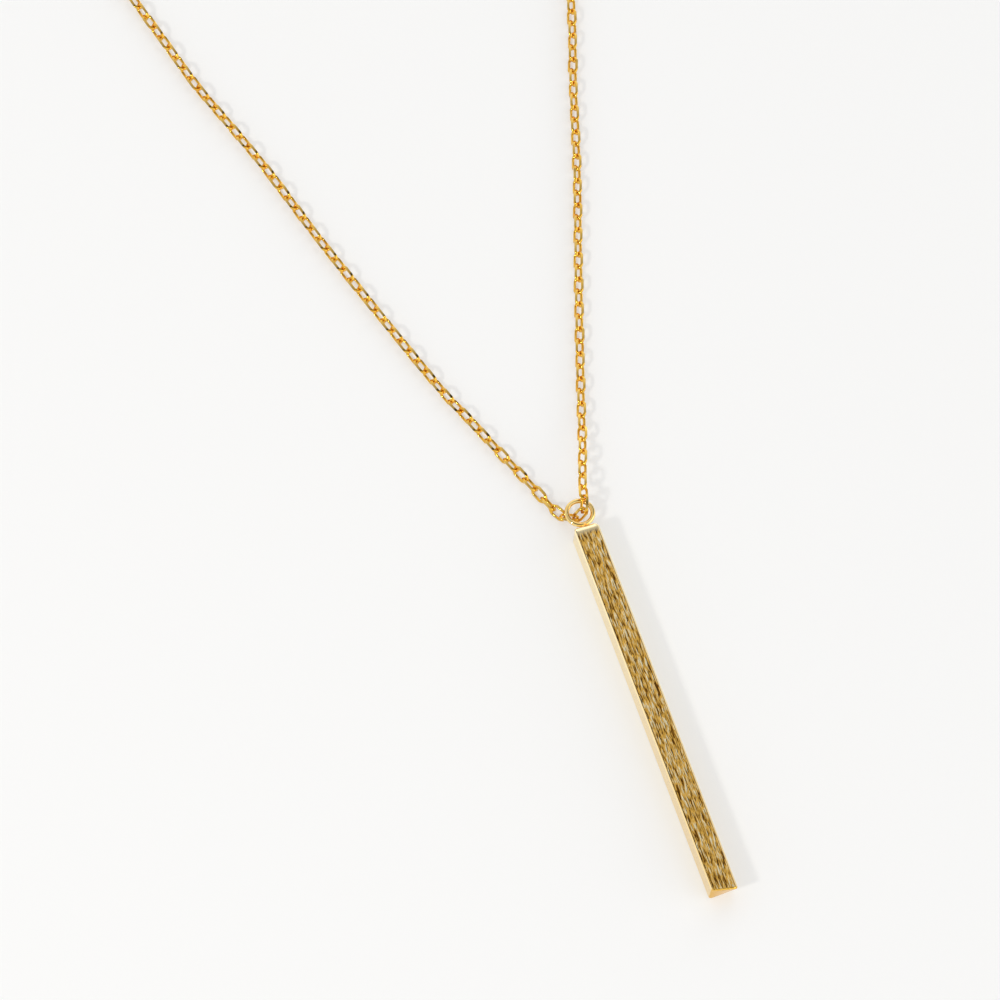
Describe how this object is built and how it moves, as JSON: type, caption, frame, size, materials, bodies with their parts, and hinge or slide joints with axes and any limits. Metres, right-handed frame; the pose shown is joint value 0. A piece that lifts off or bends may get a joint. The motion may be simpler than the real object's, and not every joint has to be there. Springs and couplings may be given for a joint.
{
  "type": "bar pendant necklace",
  "caption": "Square metal bar pendant hung by a soldered ring on a fine diamond-cut cable chain, lying flat as one closed loop with a barrel clasp.",
  "frame": {"origin": "middle of the bar's back face, on the surface the necklace lies on", "axes": "+Y along the bar towards its ring, +Z out of the bar's front face, away from the surface, +X to the bar's right seen from the front"},
  "size_m": [0.0822, 0.2254, 0.0033],
  "materials": {
    "bar": "brushed lengthwise, polished bevels",
    "chain": "polished, diamond cut",
    "clasp": "polished"
  },
  "bodies": {
    "root": {"bar_pendant": "bar", "chain_left": "chain", "chain_right": "chain", "clasp": "clasp"}
  },
  "joints": []
}
